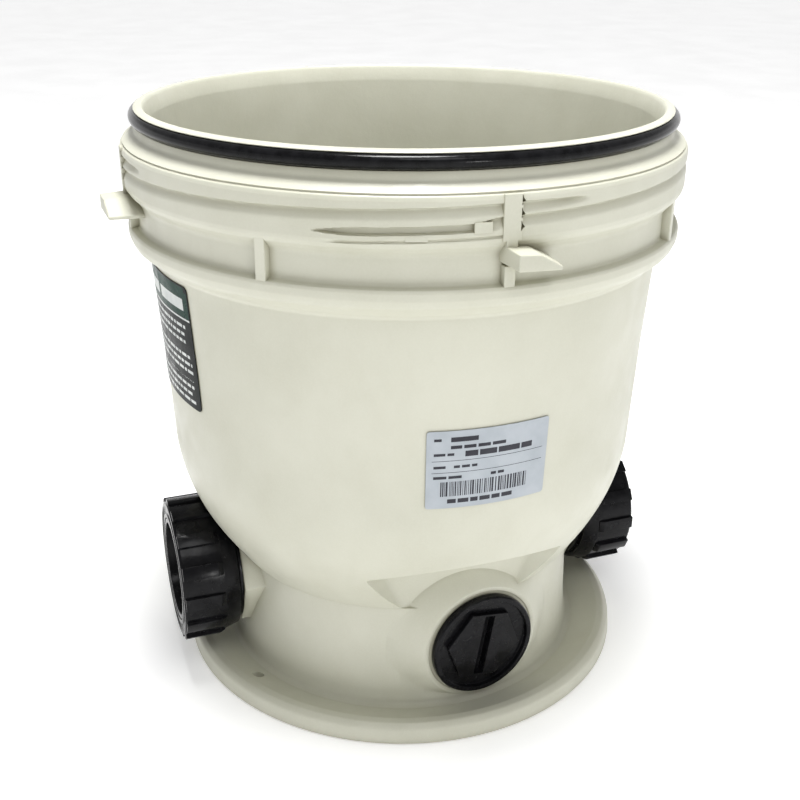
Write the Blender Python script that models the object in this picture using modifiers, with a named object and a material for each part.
"""Lower tank of a two-piece pool cartridge filter, with its unions, drain plug and manifold.

Metres, +Z up. The origin is the middle of the underside, on the tank's axis. The two ports
lie on the X axis: the inlet towards -X, the outlet towards +X. The drain faces -Y.
"""

import math

import bmesh
import bpy
from mathutils import Matrix, Vector

MM = 0.001
GAP = 0.3 * MM

# Tank
TANK_STEPS = 48
RIM_Z = 356 * MM
FLOOR_Z = 12 * MM
O_RING_RADIUS = 155.7 * MM
O_RING_SECTION = 3.75 * MM
O_RING_Z = 350.4 * MM
GROOVE_RADIUS = O_RING_RADIUS - O_RING_SECTION - GAP
GROOVE_HALF = O_RING_SECTION + GAP
WALL_RADIUS = 159 * MM
LEDGE_RADIUS = 164.6 * MM
BAND_RADIUS = 165.4 * MM
PEDESTAL_RADIUS = 113 * MM
BASE_RADIUS = 147.4 * MM
LIP_Z = 13 * MM
UNDER_RECESS = 3 * MM
BODY_LINE = ((264 * MM, 152.6 * MM), (215 * MM, 149.6 * MM), (160 * MM, 147.4 * MM))

# Collar features, repeated round the tank
MOULD_TURN = math.radians(-1)
LUG_COUNT = 4
LUG_TIP_RADIUS = 178 * MM
LUG_BOTTOM_Z = 300 * MM
LUG_HEIGHT = 11.5 * MM
RIB_COUNT = 8
RIB_WIDTH = 5.8 * MM
BAR_TURN = math.radians(-0.75)
BAR_WIDTH = 9.8 * MM

# Ports: places are distances from the tank's axis
PORT_STEPS = 24
PORT_Z = 62.8 * MM
PAD_IN = 100 * MM
SPOT_FACE = 114.5 * MM
BOSS_FACE = 119 * MM
BOSS_RADIUS = 40.4 * MM
RELIEF_RADIUS = 49.5 * MM
PAD_RADIUS = 54 * MM
SHANK_RADIUS = 28.9 * MM
SHANK_END = 88 * MM
UNION_BORE = 26 * MM
UNION_FACE = 136 * MM
THREAD_RADIUS = 38.4 * MM
NUT_START = 122 * MM
NUT_END = 158.1 * MM
NUT_RADIUS = 44.3 * MM
NUT_RIB_RADIUS = 46.5 * MM
NUT_RIBS = 14
LIP_THICK = 5 * MM
SOCKET_RADIUS = 30.2 * MM
HUB_RADIUS = 33.1 * MM

# Drain
DRAIN_TURN = math.radians(5.5)
DRAIN_Z = 44.5 * MM
DRAIN_FACE = 115.5 * MM
BOSS_LOW_Z = 6 * MM
DRAIN_BORE = 24.2 * MM
PLUG_FACE = 120.6 * MM
PLUG_RADIUS = 33.9 * MM
PLUG_RIM = 3.6 * MM
PLUG_MOAT = 3.2 * MM
PLUG_TURN = math.radians(-10)
STEM_RADIUS = 23.6 * MM
STEM_END = 94 * MM

# The relief in the bowl over the drain
RELIEF_FACE = 107 * MM
RELIEF_END = 150 * MM
RELIEF_LOW_Z = 74.2 * MM
RELIEF_LOW_HALF = 35.7 * MM
RELIEF_SPREAD = 0.467
RELIEF_FLARE = 1.0
RELIEF_CREASE_Z = 116.6 * MM
RELIEF_CREASE_OUT = 138 * MM
RELIEF_RISE = 0.54
WALL_THICK = 5.5 * MM

# Manifold inside the tank
ELBOW_RADIUS = 27 * MM
ELBOW_BORE = 21.5 * MM
ELBOW_BEND = 34 * MM
ELBOW_TOP = 118 * MM
SPIGOT_RADIUS = 24.5 * MM
SEAT_RADIUS = 62 * MM
SEAT_TOP = 150 * MM
SCREW_CIRCLE = 37 * MM
SCREW_COUNT = 4

# Labels
LABEL_THICK = 0.4 * MM
LABEL_GAP = 0.35 * MM

MATERIALS = {
    "cream": ((0.71, 0.69, 0.57), 0.42, 0.0),
    "black_plastic": ((0.012, 0.012, 0.013), 0.33, 0.0),
    "rubber": ((0.008, 0.008, 0.009), 0.28, 0.0),
    "grey_plastic": ((0.19, 0.20, 0.21), 0.45, 0.0),
    "steel": ((0.62, 0.62, 0.61), 0.28, 1.0),
    "label_silver": ((0.62, 0.64, 0.68), 0.45, 0.0),
    "label_dark": ((0.02, 0.035, 0.032), 0.4, 0.0),
}


def material(name):
    found = bpy.data.materials.get(name)
    if found:
        return found
    colour, roughness, metallic = MATERIALS[name]
    made = bpy.data.materials.new(name)
    made.use_nodes = True
    shader = made.node_tree.nodes["Principled BSDF"]
    shader.inputs["Base Color"].default_value = (*colour, 1)
    shader.inputs["Roughness"].default_value = roughness
    shader.inputs["Metallic"].default_value = metallic
    made.diffuse_color = (*colour, 1)
    return made


def clear_scene():
    for old in list(bpy.data.objects):
        bpy.data.objects.remove(old, do_unlink=True)


def make_collections():
    parts = bpy.data.collections.new("pool_filter_lower_tank")
    cutters = bpy.data.collections.new("cutters")
    for made in (parts, cutters):
        bpy.context.scene.collection.children.link(made)
    return parts, cutters


def place(obj, turn=None, height=0.0):
    """Local +Z to the outward direction at this turn about the tank's axis, local +Y up."""
    if turn is not None:
        obj.location = (0, 0, height)
        obj.rotation_euler = (math.radians(90), 0, turn)
    return obj


def part(obj, slot):
    """Makes an object a piece of the tank."""
    PARTS.objects.link(obj)
    obj.data.materials.clear()
    obj.data.materials.append(material(slot))
    if obj.type == "MESH":
        obj.data.shade_smooth()
        obj.data.set_sharp_from_angle(angle=math.radians(32))
    return obj


def tool(obj):
    """Makes an object a cutter or a shape to join, which isn't a piece itself."""
    CUTTERS.objects.link(obj)
    obj.hide_render = True
    obj.display_type = "WIRE"
    return obj


def boolean(obj, other, operation="DIFFERENCE", solver="EXACT"):
    modifier = obj.modifiers.new(operation.lower(), "BOOLEAN")
    modifier.operation = operation
    modifier.solver = solver
    modifier.object = other
    return obj


def turned(name, outline, steps, closed=True):
    """A profile of (radius, height) points turned about Z with a Screw modifier."""
    mesh = bpy.data.meshes.new(name)
    count = len(outline)
    edges = [(i, (i + 1) % count) for i in range(count if closed else count - 1)]
    mesh.from_pydata([(r, 0, z) for r, z in outline], edges, [])
    obj = bpy.data.objects.new(name, mesh)
    screw = obj.modifiers.new("turn", "SCREW")
    screw.angle = math.tau
    screw.steps = steps
    screw.render_steps = steps
    screw.use_merge_vertices = True
    screw.merge_threshold = 0.00001
    screw.use_smooth_shade = True
    return obj


def cylinder(name, radius, low, high, steps=PORT_STEPS, top_radius=None):
    """A solid cylinder or cone about Z, as a turned profile open at the axis."""
    wide = radius if top_radius is None else top_radius
    return turned(name, [(0, high), (wide, high), (radius, low), (0, low)], steps, closed=False)


def ring(name, inner, outer, low, high, steps=PORT_STEPS):
    return turned(name, [(inner, high), (outer, high), (outer, low), (inner, low)], steps)


def o_ring(name, radius, section, height, steps, sides=8):
    points = []
    for i in range(sides):
        angle = -math.tau * i / sides
        points.append((radius + section * math.cos(angle), height + section * math.sin(angle)))
    return turned(name, points, steps)


def box(name, size, centre, turn=0.0):
    """A box about centre, then turned about the world's Z axis."""
    mesh = bpy.data.meshes.new(name)
    shape = bmesh.new()
    bmesh.ops.create_cube(shape, size=1)
    for vert in shape.verts:
        vert.co = Vector([c + s * v for c, s, v in zip(centre, size, vert.co)])
    shape.to_mesh(mesh)
    shape.free()
    obj = bpy.data.objects.new(name, mesh)
    obj.rotation_euler = (0, 0, turn)
    return obj


def prism(name, sides, radius, low, high):
    """A regular prism along Z, with a corner on +Y."""
    mesh = bpy.data.meshes.new(name)
    shape = bmesh.new()
    bmesh.ops.create_cone(
        shape,
        cap_ends=True,
        segments=sides,
        radius1=radius,
        radius2=radius,
        depth=high - low,
    )
    bmesh.ops.translate(shape, verts=shape.verts, vec=(0, 0, (low + high) / 2))
    shape.to_mesh(mesh)
    shape.free()
    return bpy.data.objects.new(name, mesh)


def hull(name, points):
    mesh = bpy.data.meshes.new(name)
    shape = bmesh.new()
    for point in points:
        shape.verts.new(point)
    made = bmesh.ops.convex_hull(shape, input=shape.verts)
    spare = [v for v in made["geom_interior"] if isinstance(v, bmesh.types.BMVert)]
    bmesh.ops.delete(shape, geom=spare, context="VERTS")
    bmesh.ops.recalc_face_normals(shape, faces=shape.faces)
    shape.to_mesh(mesh)
    shape.free()
    return bpy.data.objects.new(name, mesh)


def swept(name, points, radius, resolution):
    """A tube along points, made a mesh with its caps welded, so that Booleans can use it."""
    curve = bpy.data.curves.new(name, "CURVE")
    curve.dimensions = "3D"
    curve.bevel_depth = radius
    curve.bevel_resolution = resolution
    curve.use_fill_caps = True
    spline = curve.splines.new("POLY")
    spline.points.add(len(points) - 1)
    for target, point in zip(spline.points, points):
        target.co = (*point, 1)
    guide = bpy.data.objects.new(name + "_path", curve)
    CUTTERS.objects.link(guide)
    bpy.context.view_layer.update()
    evaluated = guide.evaluated_get(bpy.context.evaluated_depsgraph_get())
    mesh = bpy.data.meshes.new_from_object(evaluated)
    bpy.data.objects.remove(guide)
    shape = bmesh.new()
    shape.from_mesh(mesh)
    bmesh.ops.remove_doubles(shape, verts=shape.verts, dist=0.00001)
    bmesh.ops.recalc_face_normals(shape, faces=shape.faces)
    shape.to_mesh(mesh)
    shape.free()
    return bpy.data.objects.new(name, mesh)


def body_radius(height):
    """The radius of the tank's plain wall at a height between the bowl and the ledge."""
    for (high, wide), (low, narrow) in zip(BODY_LINE, BODY_LINE[1:]):
        if height >= low:
            return narrow + (wide - narrow) * (height - low) / (high - low)
    return BODY_LINE[-1][1]


def bowl(start_radius, end_radius, start_z, end_z, count):
    """Points of the bowl's curve, a parabola from the wall down to the pedestal."""
    points = []
    for i in range(count + 1):
        t = i / count
        height = start_z + (end_z - start_z) * t
        points.append((start_radius + (end_radius - start_radius) * t**2, height))
    return points


def tank_outline():
    """The tank's outer side, from the rim down to the middle of the underside."""
    points = [
        (0, RIM_Z),
        (152 * MM, RIM_Z),
        (154.6 * MM, RIM_Z - 0.3 * MM),
        (156.3 * MM, RIM_Z - 1 * MM),
        (156.3 * MM, O_RING_Z + GROOVE_HALF),
        (GROOVE_RADIUS, O_RING_Z + GROOVE_HALF),
        (GROOVE_RADIUS, O_RING_Z - GROOVE_HALF),
        (156.3 * MM, O_RING_Z - GROOVE_HALF),
        (157 * MM, 342 * MM),
        (163.8 * MM, 337.4 * MM),
        (BAND_RADIUS, 334 * MM),
        (BAND_RADIUS, 315.5 * MM),
        (163.6 * MM, 311 * MM),
        (WALL_RADIUS, 306 * MM),
        (WALL_RADIUS, 292 * MM),
        (LEDGE_RADIUS - 1 * MM, 290.5 * MM),
        (LEDGE_RADIUS, 288.5 * MM),
        (LEDGE_RADIUS, 285 * MM),
        (162.6 * MM, 280.6 * MM),
        (154.6 * MM, 274.6 * MM),
        (153.1 * MM, 272 * MM),
    ]
    points += [(wide, high) for high, wide in BODY_LINE]
    points += bowl(BODY_LINE[-1][1], PEDESTAL_RADIUS, 160 * MM, 73.5 * MM, 9)[1:]
    points += [
        (PEDESTAL_RADIUS + 1 * MM, 40 * MM),
        (PEDESTAL_RADIUS + 2.5 * MM, 10 * MM),
        (PEDESTAL_RADIUS + 5 * MM, 6 * MM),
        (PEDESTAL_RADIUS + 8 * MM, 5.4 * MM),
        (134 * MM, 10.6 * MM),
        (137.5 * MM, LIP_Z - 0.4 * MM),
        (141 * MM, LIP_Z),
        (144.6 * MM, LIP_Z - 0.8 * MM),
        (146.6 * MM, LIP_Z - 3.2 * MM),
        (BASE_RADIUS, 1 * MM),
        (BASE_RADIUS - 0.8 * MM, 0),
        (128 * MM, 0),
        (126 * MM, UNDER_RECESS),
        (56 * MM, UNDER_RECESS),
        (54 * MM, 0),
        (0, 0),
    ]
    return points


def cavity_outline():
    """The hollow of the tank, as a cutter that runs out through the rim."""
    above = RIM_Z + 5 * MM
    points = [
        (0, above),
        (151.4 * MM, above),
        (150.3 * MM, RIM_Z),
        (148.4 * MM, 346 * MM),
        (148.2 * MM, 300 * MM),
        (147 * MM, 262 * MM),
        (144.4 * MM, 215 * MM),
    ]
    points += bowl(142.4 * MM, 107.5 * MM, 162 * MM, 76 * MM, 8)
    points += [
        (107.5 * MM, 22 * MM),
        (104 * MM, 15 * MM),
        (98 * MM, FLOOR_Z),
        (0, FLOOR_Z),
    ]
    return points


def lug(index):
    """A stop lug: a plate with a flat bottom and a ramp on top, standing out of the wall."""
    turn = MOULD_TURN + math.radians(5) + math.tau * index / LUG_COUNT
    root = WALL_RADIUS - 4 * MM
    low = LUG_BOTTOM_Z
    points = []
    for side, top, root_at, tip_at in (
        ("thick", LUG_HEIGHT, -19.5 * MM, -19.5 * MM),
        ("thin", 1.6 * MM, 8.5 * MM, 4.5 * MM),
    ):
        drop = 0 if side == "thick" else 0.3 * MM
        points += [
            (root_at, -root, low),
            (root_at, -root, low + top),
            (tip_at, -LUG_TIP_RADIUS, low),
            (tip_at, -LUG_TIP_RADIUS, low + top - drop - 1.2 * MM),
        ]
    made = hull(f"lug_{index}", points)
    made.rotation_euler = (0, 0, turn)
    return tool(made)


def rib(index):
    """An upright rib between the thread band and the ledge."""
    under_lug = index % 2 == 0
    top = LUG_BOTTOM_Z + 1 * MM if under_lug else 312 * MM
    inner = WALL_RADIUS - 4 * MM
    depth = LEDGE_RADIUS - 0.8 * MM - inner
    turn = MOULD_TURN + math.tau * index / RIB_COUNT
    size = (RIB_WIDTH, depth, top - 286 * MM)
    centre = (0, -(inner + depth / 2), (top + 286 * MM) / 2)
    return tool(box(f"rib_{index}", size, centre, turn))


def bar(index):
    """The upright bar across the threads, with a narrower foot."""
    turn = MOULD_TURN + BAR_TURN + math.tau * index / LUG_COUNT
    made = []
    for name, width, inner, outer, low, high in (
        ("bar", BAR_WIDTH, 154 * MM, BAND_RADIUS + 1.2 * MM, 313.7 * MM, 335.6 * MM),
        ("bar_foot", BAR_WIDTH * 0.6, 153 * MM, BAND_RADIUS + 0.6 * MM, 308 * MM, 317 * MM),
    ):
        size = (width, outer - inner, high - low)
        centre = (0, -(inner + outer) / 2, (low + high) / 2)
        made.append(tool(box(f"{name}_{index}", size, centre, turn)))
    return made


def relief_hull(name, face, margin):
    """A wedge over the drain, under a ceiling that rises outwards, with sides that spread."""
    low = RELIEF_LOW_Z - margin
    points = []
    for out in (face, RELIEF_END):
        ceiling = RELIEF_CREASE_Z + RELIEF_RISE * (out - RELIEF_CREASE_OUT) + margin
        half_low = RELIEF_LOW_HALF + RELIEF_FLARE * (out - face) + margin
        half_high = half_low + RELIEF_SPREAD * (ceiling - RELIEF_LOW_Z)
        for side in (-1, 1):
            points.append((side * half_low, -out, low))
            points.append((side * half_high, -out, ceiling))
    made = hull(name, points)
    made.rotation_euler = (0, 0, MOULD_TURN)
    return tool(made)


def under_rib(index):
    turn = math.tau * index / 8
    low = 0.4 * MM
    high = UNDER_RECESS + 2.2 * MM
    size = (4 * MM, 77 * MM, high - low)
    return tool(box(f"under_rib_{index}", size, (0, -91 * MM, (low + high) / 2), turn))


def make_tank():
    cavity = tool(turned("tank_hollow", cavity_outline(), TANK_STEPS, closed=False))
    ends = (math.radians(-90), math.radians(90))
    for turn in ends:
        pad = tool(cylinder("port_pad", PAD_RADIUS, PAD_IN, 165 * MM))
        boolean(cavity, place(pad, turn, PORT_Z))
    pad = tool(cylinder("drain_pad", 32 * MM, 99 * MM, 125 * MM))
    boolean(cavity, place(pad, DRAIN_TURN, DRAIN_Z))
    boolean(cavity, relief_hull("relief_pad", RELIEF_FACE - WALL_THICK, WALL_THICK))

    tank = part(turned("tank_shell", tank_outline(), TANK_STEPS, closed=False), "cream")
    boolean(tank, relief_hull("drain_relief", RELIEF_FACE, 0), solver="MANIFOLD")
    boss = tool(cylinder("drain_boss", 54 * MM, 100 * MM, DRAIN_FACE, top_radius=38.5 * MM))
    place(boss, DRAIN_TURN, DRAIN_Z)
    trim_size = (200 * MM, 100 * MM, 40 * MM)
    trim_centre = (0, -110 * MM, BOSS_LOW_Z - 20 * MM)
    under = tool(box("drain_boss_trim", trim_size, trim_centre))
    boolean(boss, under)
    joined = [boss]
    hexagons = []
    for turn in ends:
        hexagon = tool(prism("port_boss", 6, BOSS_RADIUS, 103 * MM, BOSS_FACE))
        hexagon.data.transform(Matrix.Rotation(math.radians(30), 4, "Z"))
        hexagons.append(place(hexagon, turn, PORT_Z))
    joined += hexagons
    joined += [lug(i) for i in range(LUG_COUNT)]
    joined += [rib(i) for i in range(RIB_COUNT)]
    joined += [piece for i in range(LUG_COUNT) for piece in bar(i)]
    joined += [under_rib(i) for i in range(8)]
    for shape in joined:
        boolean(tank, shape, "UNION", "MANIFOLD")
    boolean(tank, cavity, solver="MANIFOLD")
    for turn, hexagon in zip(ends, hexagons):
        relief = tool(cylinder("port_relief", RELIEF_RADIUS, SPOT_FACE, 175 * MM))
        boolean(relief, hexagon)
        boolean(tank, place(relief, turn, PORT_Z), solver="MANIFOLD")
        bore = tool(cylinder("port_bore", SHANK_RADIUS + 0.5 * MM, 90 * MM, 130 * MM))
        boolean(tank, place(bore, turn, PORT_Z), solver="MANIFOLD")
    bore = tool(cylinder("drain_bore", DRAIN_BORE, 90 * MM, 130 * MM))
    boolean(tank, place(bore, DRAIN_TURN, DRAIN_Z), solver="MANIFOLD")
    seat = tool(cylinder("drain_seat", 29.7 * MM, DRAIN_FACE - 4.7 * MM, 130 * MM))
    boolean(tank, place(seat, DRAIN_TURN, DRAIN_Z), solver="MANIFOLD")
    spot = tool(cylinder("drain_spot_face", PLUG_RADIUS + 1.2 * MM, DRAIN_FACE, 140 * MM))
    boolean(tank, place(spot, DRAIN_TURN, DRAIN_Z), solver="MANIFOLD")
    for turn in (-64, 116):
        hole = tool(cylinder("anchor_hole", 3.5 * MM, -5 * MM, 20 * MM, 16))
        angle = math.radians(turn)
        hole.location = (130 * MM * math.sin(angle), -130 * MM * math.cos(angle), 0)
        boolean(tank, hole, solver="MANIFOLD")
    return tank


def make_tank_o_ring():
    ring_obj = o_ring("tank_o_ring", O_RING_RADIUS, O_RING_SECTION, O_RING_Z, TANK_STEPS)
    return part(ring_obj, "rubber")


def make_port(side, turn):
    """The bulkhead fitting and the union of one port."""
    face = UNION_FACE
    groove = (30.6 * MM, 34.4 * MM, 3.4 * MM)
    body = turned(
        f"{side}_bulkhead_body",
        [
            (UNION_BORE, face),
            (groove[0], face),
            (groove[0], face - groove[2]),
            (groove[1], face - groove[2]),
            (groove[1], face),
            (THREAD_RADIUS - 0.8 * MM, face),
            (THREAD_RADIUS, face - 0.8 * MM),
            (THREAD_RADIUS, BOSS_FACE + 2.6 * MM),
            (SHANK_RADIUS, BOSS_FACE + 2.6 * MM),
            (SHANK_RADIUS, SHANK_END),
            (UNION_BORE, SHANK_END),
        ],
        PORT_STEPS,
    )
    gasket = ring(
        f"{side}_bulkhead_gasket",
        SHANK_RADIUS + 0.4 * MM,
        THREAD_RADIUS - 0.4 * MM,
        BOSS_FACE + GAP,
        BOSS_FACE + 2.3 * MM,
    )
    locknut = prism(f"{side}_locknut", 6, 40 * MM, PAD_IN - 9.2 * MM, PAD_IN - GAP)
    hole = tool(cylinder("locknut_bore", SHANK_RADIUS + 0.4 * MM, 80 * MM, 110 * MM))
    boolean(locknut, place(hole, turn, PORT_Z))
    seal = o_ring(f"{side}_union_o_ring", 32.5 * MM, 1.5 * MM, face - 1.75 * MM, PORT_STEPS, 6)
    shoulder = NUT_END - LIP_THICK
    tailpiece = turned(
        f"{side}_tailpiece",
        [
            (SOCKET_RADIUS, NUT_END - GAP),
            (HUB_RADIUS, NUT_END - GAP),
            (HUB_RADIUS, shoulder - GAP),
            (THREAD_RADIUS - 0.8 * MM, shoulder - GAP),
            (THREAD_RADIUS - 0.8 * MM, face + GAP),
            (UNION_BORE, face + GAP),
            (UNION_BORE, face + 5 * MM),
            (SOCKET_RADIUS, face + 5 * MM),
        ],
        PORT_STEPS,
    )
    nut = turned(
        f"{side}_union_nut",
        [
            (HUB_RADIUS + 0.4 * MM, NUT_END),
            (NUT_RADIUS - 0.6 * MM, NUT_END),
            (NUT_RADIUS, NUT_END - 0.6 * MM),
            (NUT_RADIUS, 131.5 * MM),
            (41.4 * MM, NUT_START),
            (THREAD_RADIUS + 0.4 * MM, NUT_START),
            (THREAD_RADIUS + 0.4 * MM, shoulder),
            (HUB_RADIUS + 0.4 * MM, shoulder),
        ],
        PORT_STEPS,
    )
    place(nut, turn, PORT_Z)
    bpy.context.view_layer.update()
    for i in range(NUT_RIBS):
        high = NUT_END - 0.4 * MM
        low = 132.7 * MM
        depth = NUT_RIB_RADIUS - NUT_RADIUS + 1.2 * MM
        centre = (0, NUT_RIB_RADIUS - depth / 2, (high + low) / 2)
        grip = box(f"{side}_nut_rib_{i}", (8.4 * MM, depth, high - low), centre)
        spin = math.tau * (i + 0.5) / NUT_RIBS
        for vert in grip.data.vertices:
            x, y, z = vert.co
            c, s = math.cos(spin), math.sin(spin)
            vert.co = (c * x - s * y, s * x + c * y, z)
        boolean(nut, place(tool(grip), turn, PORT_Z), "UNION")
    slots = (
        (body, "black_plastic"),
        (gasket, "rubber"),
        (locknut, "black_plastic"),
        (seal, "rubber"),
        (tailpiece, "black_plastic"),
        (nut, "black_plastic"),
    )
    for obj, slot in slots:
        part(place(obj, turn, PORT_Z), slot)


def make_drain():
    back = DRAIN_FACE + GAP
    plug = turned(
        "drain_plug",
        [
            (0, PLUG_FACE - PLUG_MOAT),
            (PLUG_RADIUS - PLUG_RIM, PLUG_FACE - PLUG_MOAT),
            (PLUG_RADIUS - PLUG_RIM, PLUG_FACE),
            (PLUG_RADIUS - 0.8 * MM, PLUG_FACE),
            (PLUG_RADIUS, PLUG_FACE - 0.8 * MM),
            (PLUG_RADIUS, back),
            (STEM_RADIUS, back),
            (STEM_RADIUS, STEM_END + 1 * MM),
            (STEM_RADIUS - 1 * MM, STEM_END),
            (0, STEM_END),
        ],
        PORT_STEPS,
        closed=False,
    )
    grip = tool(prism("plug_hexagon", 6, 25 * MM, PLUG_FACE - 4.4 * MM, PLUG_FACE))
    slot = tool(box("plug_slot", (6.4 * MM, 70 * MM, 10 * MM), (0, 0, PLUG_FACE + 1.8 * MM)))
    bpy.context.view_layer.update()
    for shape, spin in ((grip, PLUG_TURN + math.radians(30)), (slot, PLUG_TURN)):
        for vert in shape.data.vertices:
            x, y, z = vert.co
            c, s = math.cos(spin), math.sin(spin)
            vert.co = (c * x - s * y, s * x + c * y, z)
        place(shape, DRAIN_TURN, DRAIN_Z)
    boolean(plug, grip, "UNION")
    boolean(plug, slot)
    part(place(plug, DRAIN_TURN, DRAIN_Z), "black_plastic")
    seal = o_ring("drain_plug_o_ring", 27 * MM, 2 * MM, DRAIN_FACE - 2.4 * MM, PORT_STEPS, 6)
    part(place(seal, DRAIN_TURN, DRAIN_Z), "rubber")


def elbow_path(reach):
    """From the outlet to the tank's axis, then straight up."""
    points = [(reach, 0, PORT_Z), (60 * MM, 0, PORT_Z)]
    for i in range(9):
        angle = math.radians(90 * i / 8)
        x = ELBOW_BEND - ELBOW_BEND * math.sin(angle)
        z = PORT_Z + ELBOW_BEND - ELBOW_BEND * math.cos(angle)
        points.append((x, 0, z))
    return points


def make_manifold():
    """The elbow from the outlet, the seat that the filter element stands on, and the diffuser."""
    outlet = math.radians(90)
    collar_face = SHANK_END - 4 * MM
    path = elbow_path(82 * MM) + [(0, 0, ELBOW_TOP - 2 * MM)]
    elbow = swept("outlet_elbow", path, ELBOW_RADIUS, 5)
    flange = tool(cylinder("elbow_flange", 43 * MM, 112 * MM, ELBOW_TOP))
    collar = place(tool(cylinder("elbow_collar", 33 * MM, 80 * MM, collar_face)), outlet, PORT_Z)
    spigot = place(tool(cylinder("elbow_spigot", SPIGOT_RADIUS, 82 * MM, 99 * MM)), outlet, PORT_Z)
    for shape in (flange, collar, spigot):
        boolean(elbow, shape, "UNION")
    path = elbow_path(110 * MM) + [(0, 0, ELBOW_TOP + 10 * MM)]
    boolean(elbow, tool(swept("elbow_bore", path, ELBOW_BORE, 5)))
    part(elbow, "grey_plastic")
    seal = o_ring("elbow_o_ring", 27.6 * MM, 1.5 * MM, SHANK_END - 2 * MM, PORT_STEPS, 6)
    part(place(seal, outlet, PORT_Z), "rubber")

    low = ELBOW_TOP + GAP
    seat = turned(
        "cartridge_seat",
        [
            (ELBOW_BORE, SEAT_TOP),
            (30 * MM, SEAT_TOP),
            (32 * MM, SEAT_TOP - 4 * MM),
            (32 * MM, low + 6 * MM),
            (SEAT_RADIUS - 4 * MM, low + 6 * MM),
            (SEAT_RADIUS - 4 * MM, low + 11 * MM),
            (SEAT_RADIUS, low + 11 * MM),
            (SEAT_RADIUS, low),
            (ELBOW_BORE, low),
        ],
        PORT_STEPS,
    )
    for i in range(SCREW_COUNT):
        angle = math.tau * (i + 0.5) / SCREW_COUNT
        x = SCREW_CIRCLE * math.cos(angle)
        y = SCREW_CIRCLE * math.sin(angle)
        hole = tool(cylinder("screw_hole", 2.4 * MM, 100 * MM, 140 * MM, 12))
        hole.location = (x, y, 0)
        boolean(seat, hole)
        boolean(elbow, hole)
        top = low + 6 * MM + GAP
        screw = turned(
            f"seat_screw_{i + 1}",
            [
                (0, top + 1.2 * MM),
                (1.6 * MM, top + 1.2 * MM),
                (1.6 * MM, top + 2.6 * MM),
                (3.2 * MM, top + 2.6 * MM),
                (4.2 * MM, top + 1.4 * MM),
                (4.2 * MM, top),
                (2 * MM, top),
                (2 * MM, 109 * MM),
                (0, 107 * MM),
            ],
            12,
            closed=False,
        )
        screw.location = (x, y, 0)
        part(screw, "steel")
    part(seat, "grey_plastic")


def make_diffuser():
    """A capped sleeve on the inlet that turns the flow sideways through its windows."""
    inlet = math.radians(-90)
    wide = 30 * MM
    diffuser = turned(
        "inlet_diffuser",
        [
            (0, 55 * MM),
            (26.6 * MM, 55 * MM),
            (26.6 * MM, 80 * MM),
            (ELBOW_BORE, 83 * MM),
            (ELBOW_BORE, 99 * MM),
            (SPIGOT_RADIUS, 99 * MM),
            (SPIGOT_RADIUS, SHANK_END - GAP),
            (33 * MM, SHANK_END - GAP),
            (33 * MM, 83 * MM),
            (wide, 80 * MM),
            (wide, 52 * MM),
            (0, 52 * MM),
        ],
        PORT_STEPS,
        closed=False,
    )
    for turn, size in ((0, (80 * MM, 26 * MM, 18 * MM)), (1, (26 * MM, 80 * MM, 18 * MM))):
        window = tool(box(f"diffuser_window_{turn}", size, (0, 0, 67 * MM)))
        boolean(diffuser, place(window, inlet, PORT_Z))
    part(place(diffuser, inlet, PORT_Z), "grey_plastic")


def make_label(name, slot, start, end, low, high):
    """A printed skin that follows the wall between two turns about the tank's axis."""
    rows = 4
    inner = []
    for i in range(rows + 1):
        height = high + (low - high) * i / rows
        inner.append((body_radius(height) + LABEL_GAP, height))
    outer = [(wide + LABEL_THICK, height) for wide, height in inner]
    mesh = bpy.data.meshes.new(name)
    shape = bmesh.new()
    verts = []
    for wide, height in outer + inner[::-1]:
        verts.append(shape.verts.new((wide * math.sin(start), -wide * math.cos(start), height)))
    face = shape.faces.new(verts)
    steps = max(6, round(math.degrees(end - start) / 3))
    middle, up = (0, 0, 0), (0, 0, 1)
    bmesh.ops.spin(shape, geom=[face], cent=middle, axis=up, angle=end - start, steps=steps)
    bmesh.ops.recalc_face_normals(shape, faces=shape.faces)
    shape.to_mesh(mesh)
    shape.free()
    return part(bpy.data.objects.new(name, mesh), slot)


def main():
    make_tank()
    make_tank_o_ring()
    make_port("inlet", math.radians(-90))
    make_port("outlet", math.radians(90))
    make_drain()
    make_manifold()
    make_diffuser()
    deg = math.radians
    make_label("part_label", "label_silver", deg(-15), deg(12), 162 * MM, 209 * MM)
    make_label("instruction_label", "label_dark", deg(-108), deg(-69.5), 194.5 * MM, 270 * MM)


clear_scene()
PARTS, CUTTERS = make_collections()
main()
